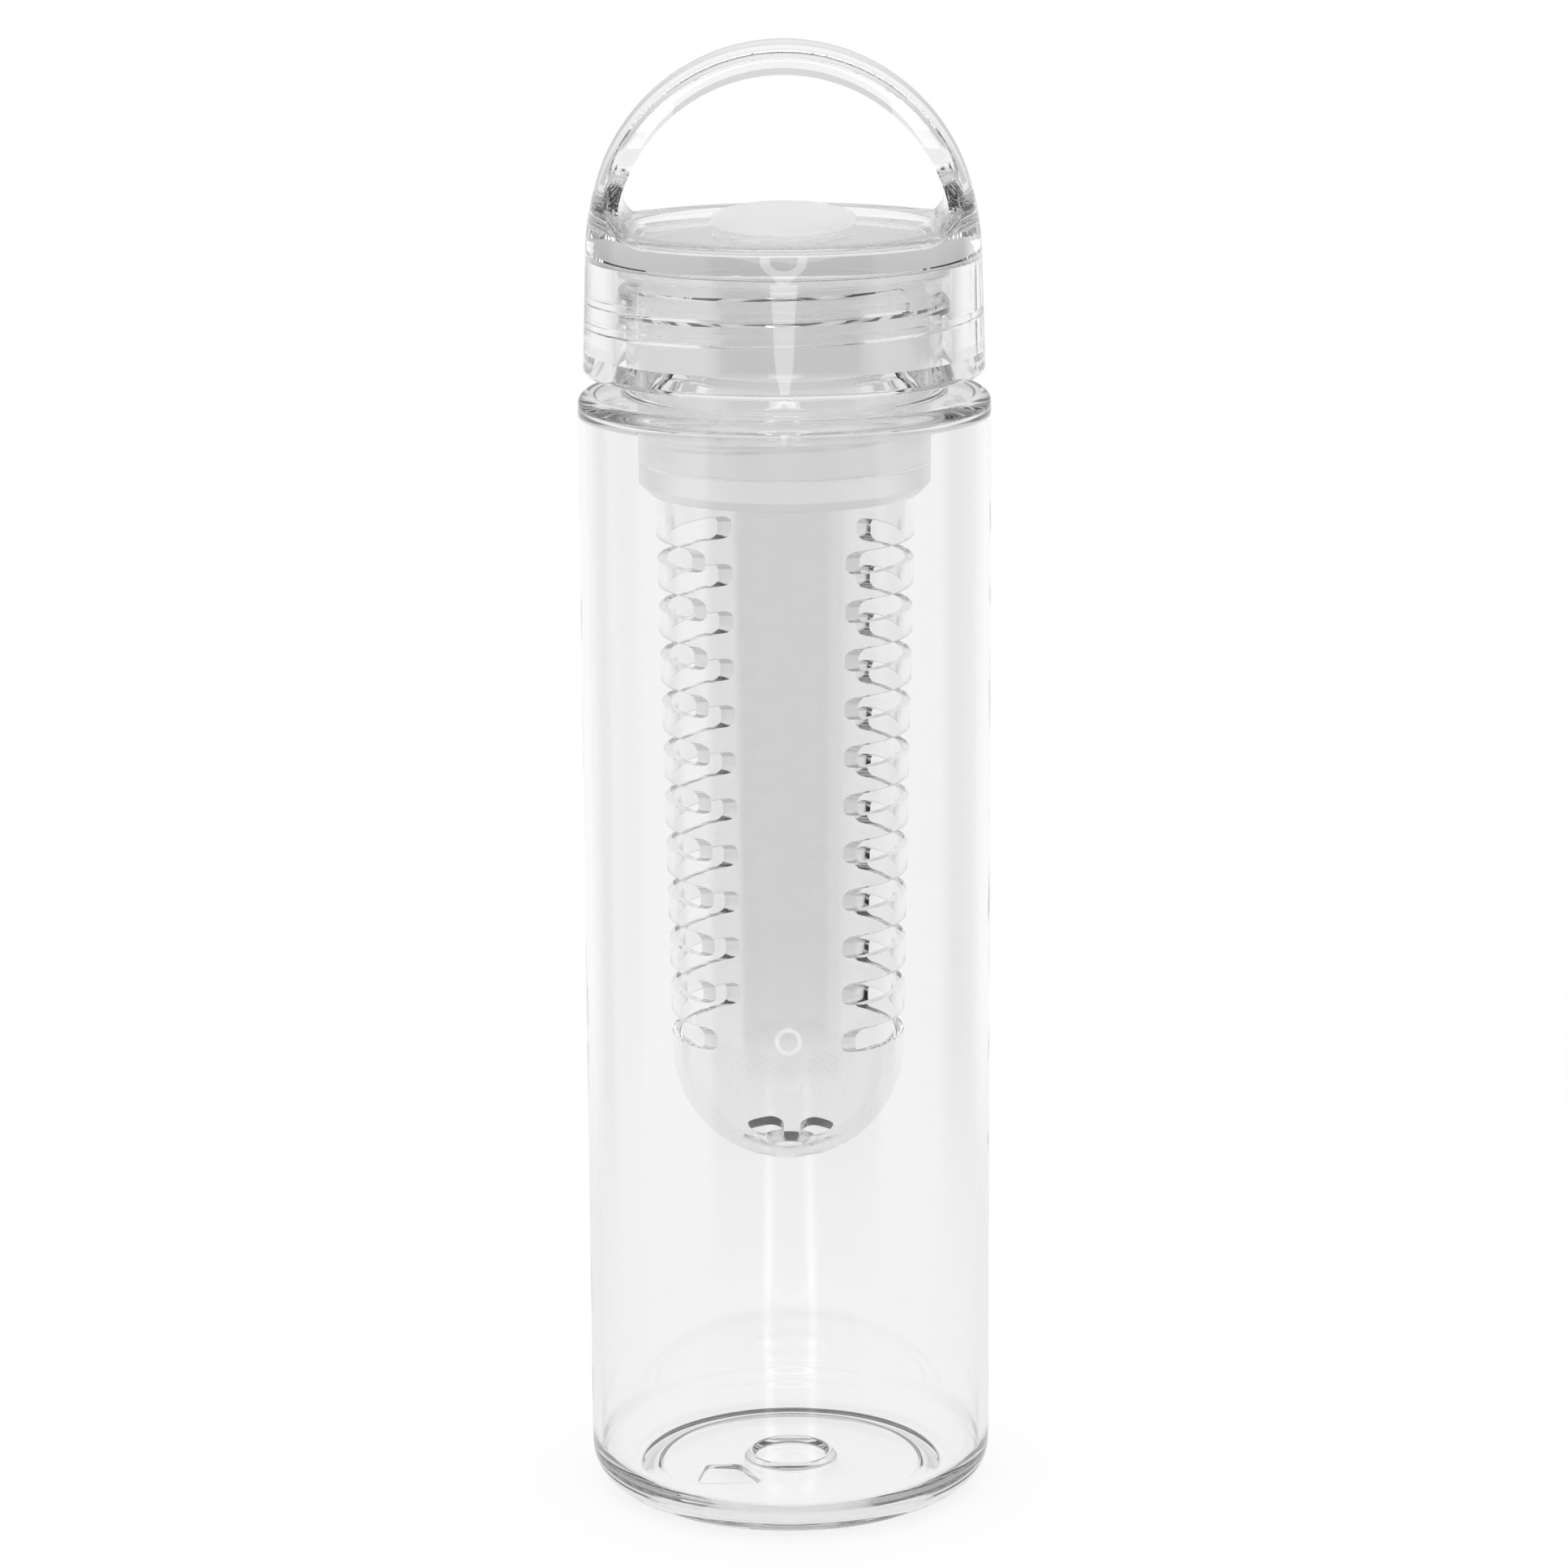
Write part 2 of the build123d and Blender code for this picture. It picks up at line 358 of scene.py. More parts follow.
def combine(piece: bpy.types.Object, tool: bpy.types.Object, join: Join) -> None:
    """Adds a second body to a piece or cuts it away, and removes that body.

    Args:
        piece: The piece that is changed.
        tool: The second body.
        join: Whether it is added or cut away.
    """
    change = piece.modifiers.new(join.name, "BOOLEAN")
    change.operation = join.value
    change.solver = "EXACT"
    change.object = tool
    graph = bpy.context.evaluated_depsgraph_get()
    result = bpy.data.meshes.new_from_object(piece.evaluated_get(graph))
    piece.modifiers.clear()
    old = piece.data
    piece.data = result
    bpy.data.meshes.remove(old)
    bpy.data.meshes.remove(tool.data)


def turned(
    name: str, corners: Sequence[Corner], closed: bool = True, steps: int = SPIN_STEPS
) -> bpy.types.Object:
    """Makes a round body from its outline.

    Args:
        name: The object's name.
        corners: The outline's corners, in order.
        closed: Whether the last corner is joined to the first.
        steps: How many steps the turn has.

    Returns:
        The body as an object.
    """
    bm = outline(corners, closed)
    spin_round(bm, steps)
    return make_object(name, bm)


def raised(name: str, bm: bmesh.types.BMesh, height: float) -> bpy.types.Object:
    """Makes an upright body from its flat foot.

    Args:
        name: The object's name.
        bm: The mesh with the foot, which is freed.
        height: The body's height, in metres.

    Returns:
        The body as an object.
    """
    sides = bmesh.ops.extrude_face_region(bm, geom=bm.faces[:])
    moved = [v for v in sides["geom"] if isinstance(v, bmesh.types.BMVert)]
    bmesh.ops.translate(bm, verts=moved, vec=(0, 0, height))
    bmesh.ops.recalc_face_normals(bm, faces=bm.faces[:])
    return make_object(name, bm)


def swing(
    bm: bmesh.types.BMesh,
    start: bmesh.types.BMVert,
    centre: tuple[float, float, float],
    axis: tuple[float, float, float],
    angle: float,
    steps: int,
) -> bmesh.types.BMVert:
    """Draws an arc by turning a vertex.

    Args:
        bm: The mesh.
        start: The vertex.
        centre: The arc's centre, in metres.
        axis: The axis that it turns about.
        angle: How far it turns.
        steps: How many steps the arc has.

    Returns:
        The arc's last vertex.
    """
    arc = bmesh.ops.spin(bm, geom=[start], cent=centre, axis=axis, angle=angle, steps=steps)
    return next(v for v in arc["geom_last"] if isinstance(v, bmesh.types.BMVert))


@dataclass(frozen=True)
class Thread:
    """The helical ridge of a thread, in millimetres.

    Args:
        pitch: Rise in one turn.
        depth: How far it stands out of its wall, or in where negative.
        foot: Width at the wall.
        crest: Width at the tip.
        turns: How many turns it has.
        front_z: Height of its middle where it passes the front.
        low_z: Height of its middle at its lower end.
        sink: How deep its root lies in the wall.
    """

    pitch: float
    depth: float
    foot: float
    crest: float
    turns: float
    front_z: float
    low_z: float
    sink: float = 0.25

    def ridge(self, radius: float) -> bpy.types.Object:
        """Makes the ridge.

        Args:
            radius: Radius of the wall that carries it, in mm.

        Returns:
            The ridge as an object.
        """
        start = FRONT_ANGLE + (self.low_z - self.front_z) / self.pitch * FULL_TURN
        root = -self.sink if self.depth > 0 else self.sink
        bm = bmesh.new()
        shape = (
            (root, -self.foot),
            (self.depth, -self.crest),
            (self.depth, self.crest),
            (root, self.foot),
        )
        verts = [bm.verts.new(((radius + r) * MM, 0, (self.low_z + z / 2) * MM)) for r, z in shape]
        face = bm.faces.new(verts)
        bmesh.ops.rotate(bm, verts=verts, cent=(0, 0, 0), matrix=Matrix.Rotation(start, 3, "Z"))
        steps = round(self.turns * SPIN_STEPS)
        bmesh.ops.spin(
            bm,
            geom=[face] + list(face.edges) + verts,
            cent=(0, 0, 0),
            axis=(0, 0, 1),
            dvec=(0, 0, self.pitch * self.turns / steps * MM),
            angle=self.turns * FULL_TURN,
            steps=steps,
        )
        bmesh.ops.remove_doubles(bm, verts=bm.verts[:], dist=MERGE)
        bmesh.ops.recalc_face_normals(bm, faces=bm.faces[:])
        return make_object("ridge", bm)


def finish_piece(
    piece: bpy.types.Object,
    finish: bpy.types.Material,
    body: str,
    node: str,
) -> None:
    """Shades a finished piece, gives it its finish and puts it in its node's place.

    Args:
        piece: The finished piece.
        finish: Its material.
        body: The body that it rides on.
        node: The node that it stands for.
    """
    piece.data.shade_smooth()
    piece.data.set_sharp_from_angle(angle=SMOOTH_ANGLE)
    piece.data.materials.clear()
    piece.data.materials.append(finish)
    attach(piece, body)
    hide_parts(node)
    log.info("%s: %d faces", piece.name, len(piece.data.polygons))


@dataclass(frozen=True)
class ClearPlastic:
    """Clear copolyester, moulded in a polished tool.

    It is nearly as clear as glass. What tells it from glass is a soft waviness of the surface, where
    the plastic shrank in the mould, which bends the reflections a little.

    Args:
        name: The material's name.
        colour: What one wall lets through, as sRGB hex.
        depth_colour: Its tone in depth, as sRGB hex, which gives thick parts their grey.
        depth: How strongly it darkens in depth, per m.
        ior: Index of refraction.
        roughness: Roughness of the polished surface.
        wave_size: Distance between two waves, in mm.
        wave_height: Height of the waves, in mm.
        wave_detail: How many finer waves lie on each.
        wave_fineness: How high the finer ones are, as a share.
    """

    name: str
    colour: str = "fbfbfb"
    depth_colour: str = "808080"
    depth: float = 7.0
    ior: float = 1.57
    roughness: float = 0.0
    wave_size: float = 9.0
    wave_height: float = 0.01
    wave_detail: float = 1.0
    wave_fineness: float = 0.4

    def make(self) -> bpy.types.Material:
        """Makes the material.

        Returns:
            The material.
        """
        material = new_material(self.name)
        tree = material.node_tree
        noise = {"Detail": self.wave_detail, "Roughness": self.wave_fineness}
        normal = add_relief(tree, self.wave_size, self.wave_height, noise)
        shader = add_node(
            tree,
            "ShaderNodeBsdfPrincipled",
            {
                "Base Color": linear(self.colour),
                "Roughness": self.roughness,
                "IOR": self.ior,
                "Transmission Weight": 1.0,
            },
            {"Normal": normal},
        )
        sockets = {"Surface": shader.outputs["BSDF"]}
        if self.depth > 0:
            settings = {"Color": linear(self.depth_colour), "Density": self.depth}
            inside = add_node(tree, "ShaderNodeVolumeAbsorption", settings, {})
            sockets["Volume"] = inside.outputs["Volume"]
        add_node(tree, "ShaderNodeOutputMaterial", {}, sockets)
        return material


@dataclass(frozen=True)
class FrostedPlastic:
    """Frosted plastic or silicone, moulded in a blasted tool.

    Its fine bloom scatters the light and blurs what is behind it. A painted glow, an emission of its own
    colour, lifts it to an even pale grey.

    Args:
        name: The material's name.
        colour: Its colour, as sRGB hex, which also tints its painted glow.
        ior: Index of refraction.
        roughness: Roughness of the blasted surface.
        clearness: Share of the light that passes instead of scattering.
        glow: Painted glow: light that the wall gives off of its own, standing in for light scattered in the
            bloom, where 1 is white.
        grain: Size of the bloom's grains, in mm, coarser than the real ones so that they show.
        grain_height: Height of the grains, in mm.
        grain_detail: How many finer grains lie on each.
    """

    name: str
    colour: str = "fdfdfd"
    ior: float = 1.5
    roughness: float = 0.3
    clearness: float = 0.92
    glow: float = 0.06
    grain: float = 0.5
    grain_height: float = 0.015
    grain_detail: float = 2.0

    def make(self) -> bpy.types.Material:
        """Makes the material.

        Returns:
            The material.
        """
        material = new_material(self.name)
        tree = material.node_tree
        normal = add_relief(tree, self.grain, self.grain_height, {"Detail": self.grain_detail})
        shader = add_node(
            tree,
            "ShaderNodeBsdfPrincipled",
            {
                "Base Color": linear(self.colour),
                "Roughness": self.roughness,
                "IOR": self.ior,
                "Transmission Weight": self.clearness,
                # Painted glow: the wall emits light of its own colour, though it is no lamp.
                "Emission Color": linear(self.colour),
                "Emission Strength": self.glow,
            },
            {"Normal": normal},
        )
        add_node(tree, "ShaderNodeOutputMaterial", {}, {"Surface": shader.outputs["BSDF"]})
        return material


@dataclass
class BottleBody:
    """The blown bottle: one clear wall from the pushed-up floor to the rim of the neck. Sizes in mm."""

    radius: float = 36.0
    wall: float = 1.5
    shoulder_z: float = 199.3
    shoulder_round: float = 2.0
    shoulder_wall: float = 2.2
    foot_round: float = 7.46
    foot_land: float = 1.2
    push_up: float = 1.8
    push_up_run: float = 4.0
    push_up_round: float = 3.0
    floor_wall: float = 1.6
    gate_ring_r: float = 7.3
    gate_ring_half: float = 1.0
    gate_ring_height: float = 1.5
    key_length: float = 12.0
    key_width: float = 9.5
    key_left_angle: float = 80.0
    key_right_angle: float = 66.0
    key_depth: float = 0.8
    key_round: float = 1.6
    key_x: float = -10.9
    key_y: float = -8.8
    neck_r: float = 27.6
    neck_wall: float = 1.5
    neck_above: float = 21.3
    neck_root_round: float = 1.0
    neck_lip_round: float = 0.4
    thread: Thread = Thread(4.35, 1.3, 1.8, 1.0, 1.6, 214.1, 212.0)

    @property
    def neck_top(self) -> float:
        """Height of the neck's rim."""
        return self.shoulder_z + self.neck_above

    @property
    def floor_z(self) -> float:
        """Height of the floor inside."""
        return self.push_up + self.floor_wall

    def shell(self) -> bpy.types.Object:
        """Makes the wall.

        Returns:
            The wall as an object.
        """
        land_r = self.radius - self.foot_round - self.foot_land
        bore_r = self.neck_r - self.neck_wall
        inner_r = self.radius - self.wall
        inner_shoulder = self.shoulder_z - self.shoulder_wall
        fine = Round.FINE
        return turned(
            "bottle_shell",
            [
                Corner(0, self.push_up),
                Corner(land_r - self.push_up_run, self.push_up, self.push_up_round),
                Corner(land_r, 0, self.push_up_round / 2),
                Corner(self.radius, 0, self.foot_round, fine),
                Corner(self.radius, self.shoulder_z, self.shoulder_round, fine),
                Corner(self.neck_r, self.shoulder_z, self.neck_root_round),
                Corner(self.neck_r, self.neck_top, self.neck_lip_round),
                Corner(bore_r, self.neck_top, self.neck_lip_round),
                Corner(bore_r, inner_shoulder, self.neck_root_round),
                Corner(inner_r, inner_shoulder, self.shoulder_round, fine),
                Corner(inner_r, self.floor_z, self.foot_round - self.wall, fine),
                Corner(self.gate_ring_r + self.gate_ring_half, self.floor_z, self.gate_ring_half / 2),
                Corner(self.gate_ring_r, self.floor_z + self.gate_ring_height, self.gate_ring_half / 2),
                Corner(self.gate_ring_r - self.gate_ring_half, self.floor_z, self.gate_ring_half / 2),
                Corner(0, self.floor_z),
            ],
            closed=False,
        )

    def key_pocket(self) -> bpy.types.Object:
        """Makes the cutter of the key pocket under the floor.

        Returns:
            The cutter.
        """
        half = self.key_length / 2
        left = self.key_width / math.tan(math.radians(self.key_left_angle))
        right = self.key_width / math.tan(math.radians(self.key_right_angle))
        low_y = self.key_y - self.key_width / 2
        high_y = self.key_y + self.key_width / 2
        depth = self.push_up + self.key_depth
        bm = bmesh.new()
        shape = (
            (-half, low_y),
            (half, low_y),
            (half - right, high_y),
            (-half + left, high_y),
        )
        verts = [bm.verts.new(((self.key_x + x) * MM, y * MM, -depth * MM)) for x, y in shape]
        bm.faces.new(verts)
        round_off(bm, verts, self.key_round * MM, Round.FINE, "VERTICES")
        return raised("key_pocket", bm, 2 * depth * MM)

    def build(self, finish: bpy.types.Material) -> bpy.types.Object:
        """Builds the bottle with its thread and its key pocket.

        Args:
            finish: The bottle's material.

        Returns:
            The finished piece.
        """
        piece = self.shell()
        piece.name = "blown_bottle"
        combine(piece, self.key_pocket(), Join.CUT)
        combine(piece, self.thread.ridge(self.neck_r), Join.ADD)
        finish_piece(piece, finish, "bottle", "bottle_body")
        return piece


@dataclass
class Lid:
    """The moulded lid with its carry arch. Its shape is the frame's own, with its loose triangles merged."""

    node: str = "lid"

    def build(self, finish: bpy.types.Material) -> bpy.types.Object:
        """Copies the frame's lid, merges it and dresses it.

        Args:
            finish: The lid's material.

        Returns:
            The finished piece.
        """
        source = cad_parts[self.node].data
        bm = bmesh.new()
        bm.from_mesh(source)
        true_normal = bm.loops.layers.float_vector.new("true_normal")
        for face, polygon in zip(bm.faces, source.polygons):
            for loop, corner in zip(face.loops, polygon.loop_indices):
                loop[true_normal] = source.corner_normals[corner].vector
        bmesh.ops.remove_doubles(bm, verts=bm.verts[:], dist=MERGE)
        normals = [loop[true_normal].copy() for face in bm.faces for loop in face.loops]
        bm.loops.layers.float_vector.remove(true_normal)
        piece = make_object("moulded_lid", bm)
        finish_piece(piece, finish, "lid", self.node)
        piece.data.normals_split_custom_set(normals)
        return piece


@dataclass
class LidSeal:
    """The soft ring that the lid presses on the neck's rim. Sizes in mm."""

    low_z: float = 220.6
    height: float = 1.6
    inner_r: float = 25.9
    outer_r: float = 29.0
    edge_round: float = 0.3

    def build(self, finish: bpy.types.Material) -> bpy.types.Object:
        """Spins the ring.

        Args:
            finish: The ring's material.

        Returns:
            The finished piece.
        """
        top = self.low_z + self.height
        piece = turned(
            "silicone_seal",
            [
                Corner(self.inner_r, self.low_z, self.edge_round),
                Corner(self.outer_r, self.low_z, self.edge_round),
                Corner(self.outer_r, top, self.edge_round),
                Corner(self.inner_r, top, self.edge_round),
            ],
        )
        finish_piece(piece, finish, "seal", "lid_seal")
        return piece


@dataclass
class LidDisc:
    """The disc in the lid's dish: a thin frosted top on a grooved wedge, in mm, its lean in degrees."""

    low_z: float = 226.5
    lean: float = 6.3
    base_height: float = 2.43
    base_r: float = 12.4
    top_r: float = 12.6
    top_height: float = 0.55
    edge_round: float = 0.2
    groove_pitch: float = 0.58
    groove_depth: float = 0.25
    groove_count: int = 6
    skin: float = 0.01

    def tilt(self, bm: bmesh.types.BMesh) -> None:
        """Leans a mesh, made level about the origin, and lifts it to the wedge's top.

        Args:
            bm: The mesh.
        """
        turn = Matrix.Rotation(math.radians(self.lean), 4, "X")
        lift = Matrix.Translation((0, 0, (self.low_z + self.base_height) * MM))
        bmesh.ops.transform(bm, matrix=lift @ turn, verts=bm.verts[:])

    def base(self) -> bpy.types.Object:
        """Makes the wedge: a grooved drum that leans, cut off level where it lies in the dish.

        Returns:
            The wedge as an object.
        """
        corners = [Corner(0, -self.skin)]
        for groove in range(self.groove_count):
            top = -self.skin - groove * self.groove_pitch
            middle = top - self.groove_pitch / 2
            corners += [
                Corner(self.base_r, top, self.groove_depth / 2),
                Corner(self.base_r, middle, self.groove_depth / 2),
                Corner(self.base_r - self.groove_depth, middle - self.groove_pitch / 4),
            ]
        foot = -self.skin - self.groove_count * self.groove_pitch
        end = foot - self.top_r
        corners += [Corner(self.base_r, foot), Corner(self.base_r, end), Corner(0, end)]
        bm = outline(corners, closed=False)
        spin_round(bm)
        self.tilt(bm)
        cut = bmesh.ops.bisect_plane(
            bm,
            geom=bm.verts[:] + bm.edges[:] + bm.faces[:],
            plane_co=(0, 0, (self.low_z + self.skin) * MM),
            plane_no=(0, 0, 1),
            clear_inner=True,
        )
        rim = [e for e in cut["geom_cut"] if isinstance(e, bmesh.types.BMEdge)]
        bmesh.ops.holes_fill(bm, edges=rim)
        bmesh.ops.recalc_face_normals(bm, faces=bm.faces[:])
        return make_object("disc_base_layer", bm)

    def top(self) -> bpy.types.Object:
        """Makes the thin top layer.

        Returns:
            The layer as an object.
        """
        bm = outline(
            [
                Corner(0, 0),
                Corner(self.top_r, 0),
                Corner(self.top_r, self.top_height, self.edge_round),
                Corner(0, self.top_height),
            ],
            closed=False,
        )
        spin_round(bm)
        self.tilt(bm)
        return make_object("disc_top_layer", bm)

    def build(self, finish: bpy.types.Material) -> None:
        """Makes both layers.

        Args:
            finish: Their material.
        """
        finish_piece(self.base(), finish, "lid", "disc_base")
        finish_piece(self.top(), finish, "lid", "top_disc")


@dataclass
class Collar:
    """The frosted tube under the lid that holds the basket. Sizes in mm."""

    outer_r: float = 25.5
    wall: float = 1.5
    low_z: float = 187.6
    top_z: float = 222.2
    edge_round: float = 0.3
    thread: Thread = Thread(6.2, -1.0, 2.7, 1.7, 1.1, 188.2, 189.25)

    def build(self, finish: bpy.types.Material) -> bpy.types.Object:
        """Spins the tube and adds its thread.

        Args:
            finish: The collar's material.

        Returns:
            The finished piece.
        """
        bore_r = self.outer_r - self.wall
        piece = turned(
            "frosted_collar",
            [
                Corner(bore_r, self.low_z, self.edge_round),
                Corner(self.outer_r, self.low_z, self.edge_round),
                Corner(self.outer_r, self.top_z),
                Corner(bore_r, self.top_z),
            ],
        )
        combine(piece, self.thread.ridge(bore_r), Join.ADD)
        finish_piece(piece, finish, "lid", "infuser_collar")
        return piece


@dataclass
class BasketRing:
    """The frosted ring that fills the step under the collar. Sizes in mm."""

    top_z: float = 187.4
    height: float = 5.5
    inner_r: float = 22.9
    outer_r: float = 25.5
    bevel: float = 1.8
    edge_round: float = 0.3

    def build(self, finish: bpy.types.Material) -> bpy.types.Object:
        """Spins the ring.

        Args:
            finish: The ring's material.

        Returns:
            The finished piece.
        """
        low = self.top_z - self.height
        piece = turned(
            "frosted_ring",
            [
                Corner(self.inner_r, low),
                Corner(self.outer_r - self.bevel, low, self.edge_round),
                Corner(self.outer_r, low + self.bevel, self.edge_round),
                Corner(self.outer_r, self.top_z, self.edge_round),
                Corner(self.inner_r, self.top_z, self.edge_round),
            ],
        )
        finish_piece(piece, finish, "ring", "basket_ring")
        return piece


@dataclass
class Basket:
    """The slotted infuser basket: a tapered tube on a round dome. Sizes in mm."""

    radius: float = 22.7
    wall: float = 1.6
    rim_z: float = 198.4
    rim_round: float = 0.5
    draft_top_z: float = 181.9
    low_r: float = 20.66
    dome_z: float = 81.6
    dome_steps: int = 24
    yaw: float = -5.4
    slot_count: int = 11
    slot_pitch: float = 8.57
    slot_height: float = 4.0
    slot_round: float = 1.3
    slot_half_angle: float = 50.5
    slot_low_z: float = 84.4
    hole_r: float = 2.6
    sink_r: float = 4.2
    drain_r: float = 7.0
    drain_width: float = 4.0
    drain_span: float = 30.0
    drain_count: int = 4
    overrun: float = 5.0
    cut_margin: float = 0.1
    thread: Thread = Thread(6.2, 1.0, 2.7, 1.7, 1.1, 191.3, 190.2)

    @property
    def taper(self) -> float:
        """How much the tube's radius grows with its height."""
        return (self.radius - self.low_r) / (self.draft_top_z - self.dome_z)

    def shell(self) -> bpy.types.Object:
        """Makes the tube and its dome.

        Returns:
            The tube as an object.
        """
        bm = outline(
            [
                Corner(self.low_r, self.dome_z),
                Corner(self.radius, self.draft_top_z),
                Corner(self.radius, self.rim_z, self.rim_round),
                Corner(self.radius - self.wall, self.rim_z, self.rim_round),
                Corner(self.radius - self.wall, self.draft_top_z),
                Corner(self.low_r - self.wall, self.dome_z),
            ],
            closed=False,
        )
        centre = (0, 0, self.dome_z * MM)
        for radius in (self.low_r, self.low_r - self.wall):
            start = bm.verts.new((radius * MM, 0, self.dome_z * MM))
            swing(bm, start, centre, (0, 1, 0), math.radians(90), self.dome_steps)
        bmesh.ops.remove_doubles(bm, verts=bm.verts[:], dist=MERGE)
        spin_round(bm)
        return make_object("basket_shell", bm)

    def slot_cutter(self, row: int) -> bpy.types.Object:
        """Makes the bar that cuts one row of slots on both sides.

        Args:
            row: The row, counted from the lowest.

        Returns:
            The cutter.
        """
        middle = self.slot_low_z + self.slot_height / 2 + row * self.slot_pitch
        radius = self.low_r + self.taper * (middle - self.dome_z)
        half = radius * math.sin(math.radians(self.slot_half_angle))
        reach = 2 * (self.radius + self.overrun)
        bm = bmesh.new()
        bmesh.ops.create_cube(bm, size=1)
        scale = (reach * MM, 2 * half * MM, self.slot_height * MM)
        bmesh.ops.scale(bm, verts=bm.verts[:], vec=scale)
        along = [e for e in bm.edges if abs((e.verts[0].co - e.verts[1].co).x) > self.radius * MM]
        round_off(bm, along, self.slot_round * MM, Round.SMALL, "EDGES")
        bmesh.ops.rotate(
            bm,
            verts=bm.verts[:],
            cent=(0, 0, 0),
            matrix=Matrix.Rotation(math.radians(self.yaw), 3, "Z"),
        )
        bmesh.ops.translate(bm, verts=bm.verts[:], vec=(0, 0, middle * MM))
        return make_object("slot_cutter", bm)

    def drain_cutter(self, quarter: int) -> bpy.types.Object:
        """Makes the curved bar that cuts one drain slot of the dome.

        Args:
            quarter: The slot, counted round the axis.

        Returns:
            The cutter.
        """
        middle = math.radians((quarter + 0.5) * CIRCLE_DEGREES / self.drain_count + self.yaw)
        half_span = math.radians(self.drain_span / 2)
        bm = bmesh.new()
        last = bm.verts.new(((self.drain_r + self.drain_width / 2) * MM, 0, 0))
        turn = Matrix.Rotation(middle - half_span, 3, "Z")
        bmesh.ops.rotate(bm, verts=[last], cent=(0, 0, 0), matrix=turn)
        legs = (
            ((0, 0, 0), 2 * half_span),
            (self.place(middle + half_span), math.pi),
            ((0, 0, 0), -2 * half_span),
            (self.place(middle - half_span), math.pi),
        )
        for centre, angle in legs:
            last = swing(bm, last, centre, (0, 0, 1), angle, Round.FINE.value)
        bmesh.ops.remove_doubles(bm, verts=bm.verts[:], dist=MERGE)
        bmesh.ops.contextual_create(bm, geom=bm.edges[:])
        low = (self.dome_z - self.low_r - self.overrun) * MM
        bmesh.ops.translate(bm, verts=bm.verts[:], vec=(0, 0, low))
        return raised("drain_cutter", bm, self.low_r * MM)

    def place(self, angle: float) -> tuple[float, float, float]:
        """Gives a point of the drain slots' middle line.

        Args:
            angle: Its angle round the axis.

        Returns:
            The point, in metres.
        """
        return (self.drain_r * MM * math.cos(angle), self.drain_r * MM * math.sin(angle), 0.0)

    def hole_cutter(self) -> bpy.types.Object:
        """Makes the countersunk plug that cuts the dome's middle hole.

        Returns:
            The cutter.
        """
        inner = self.low_r - self.wall
        sink_z = self.dome_z - math.sqrt(inner**2 - self.sink_r**2)
        depth = self.sink_r - self.hole_r
        low = self.dome_z - self.low_r - self.overrun
        return turned(
            "hole_cutter",
            [
                Corner(0, low),
                Corner(self.hole_r, low),
                Corner(self.hole_r, sink_z - depth),
                Corner(self.sink_r, sink_z),
                Corner(self.sink_r, sink_z + self.overrun),
                Corner(0, sink_z + self.overrun),
            ],
            closed=False,
            steps=SPIN_STEPS // 4,
        )

    def is_cut(self, centre: Vector) -> bool:
        """Tells whether a face lies on a cut, between the outer and the inner surface.

        Args:
            centre: The face's middle, in metres.

        Returns:
            Whether it does.
        """
        z = centre.z / MM
        if z < self.dome_z:
            depth = self.low_r - math.hypot(centre.x / MM, centre.y / MM, z - self.dome_z)
        else:
            outer = min(self.low_r + self.taper * (z - self.dome_z), self.radius)
            depth = outer - math.hypot(centre.x, centre.y) / MM
        return self.cut_margin < depth < self.wall - self.cut_margin

    def build(self, finish: bpy.types.Material, cut_satin_and_painted_shade: bpy.types.Material) -> bpy.types.Object:
        """Builds the basket with its slots, drains and thread.

        Args:
            finish: The basket's material.
            cut_satin_and_painted_shade: The material of the slots' and drains' faces: a real satin roughness
                with a darker tint that is painted shade.

        Returns:
            The finished piece.
        """
        piece = self.shell()
        piece.name = "slotted_basket"
        for row in range(self.slot_count):
            combine(piece, self.slot_cutter(row), Join.CUT)
        for quarter in range(self.drain_count):
            combine(piece, self.drain_cutter(quarter), Join.CUT)
        combine(piece, self.hole_cutter(), Join.CUT)
        combine(piece, self.thread.ridge(self.radius), Join.ADD)
        finish_piece(piece, finish, "basket", "infuser_basket")
        piece.data.materials.append(cut_satin_and_painted_shade)
        # The slots' and drains' faces get the darker tinted material: painted shade on the cut faces.
        for polygon in piece.data.polygons:
            if polygon.center.z < self.draft_top_z * MM and self.is_cut(polygon.center):
                polygon.material_index = 1
        return piece


